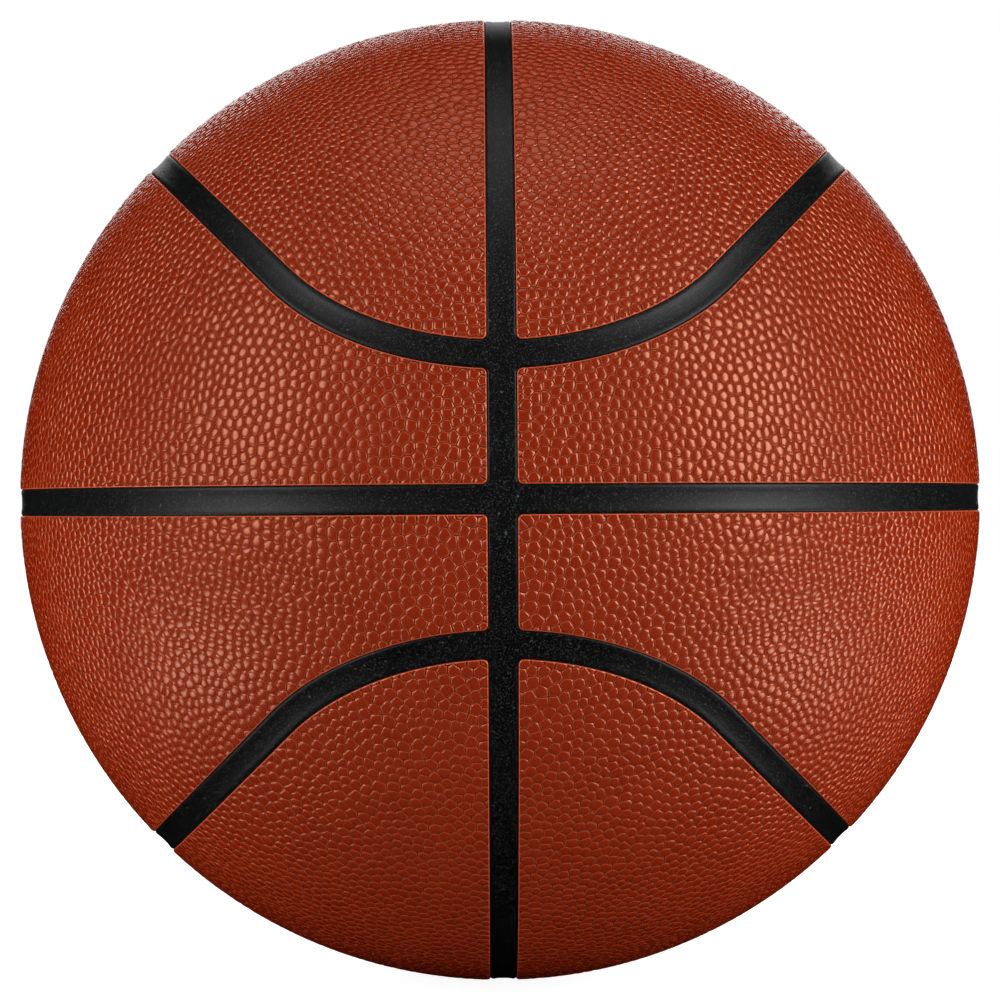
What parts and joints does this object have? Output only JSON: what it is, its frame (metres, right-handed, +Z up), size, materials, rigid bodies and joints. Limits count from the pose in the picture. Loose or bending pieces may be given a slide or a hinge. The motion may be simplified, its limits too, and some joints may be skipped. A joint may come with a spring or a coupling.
{
  "type": "basketball",
  "caption": "Inflatable basketball: pebbled cover panels parted by black rubber channel strips, over foam backings, a rubber carcass, a wound layer and a bladder with a needle valve.",
  "frame": {"origin": "the ball's centre", "axes": "+Z up along the line where the upright channel crosses the top, -Y towards the front, where the upright channel crosses the middle one, +X towards the right side"},
  "size_m": [0.24, 0.2398, 0.24],
  "materials": {
    "cover": "pebbled composite leather, satin",
    "channel_strip": "satin black rubber",
    "backing": "fine foam",
    "carcass": "moulded matt rubber",
    "winding": "wound nylon thread",
    "bladder": "smooth butyl",
    "valve": "smooth matt rubber"
  },
  "bodies": {
    "root": {"bladder": "bladder", "valve_housing": "valve", "valve_core": "valve", "balance_patch": "bladder", "winding": "winding", "carcass": "carcass", "equator_strip": "channel_strip", "upper_meridian_strip": "channel_strip", "lower_meridian_strip": "channel_strip", "upper_left_curved_strip": "channel_strip", "upper_right_curved_strip": "channel_strip", "lower_left_curved_strip": "channel_strip", "lower_right_curved_strip": "channel_strip", "upper_left_centre_backing": "backing", "upper_right_centre_backing": "backing", "lower_left_centre_backing": "backing", "lower_right_centre_backing": "backing", "upper_left_end_backing": "backing", "upper_right_end_backing": "backing", "lower_left_end_backing": "backing", "lower_right_end_backing": "backing", "upper_left_centre_panel": "cover", "upper_right_centre_panel": "cover", "lower_left_centre_panel": "cover", "lower_right_centre_panel": "cover", "upper_left_end_panel": "cover", "upper_right_end_panel": "cover", "lower_left_end_panel": "cover", "lower_right_end_panel": "cover"}
  },
  "joints": []
}
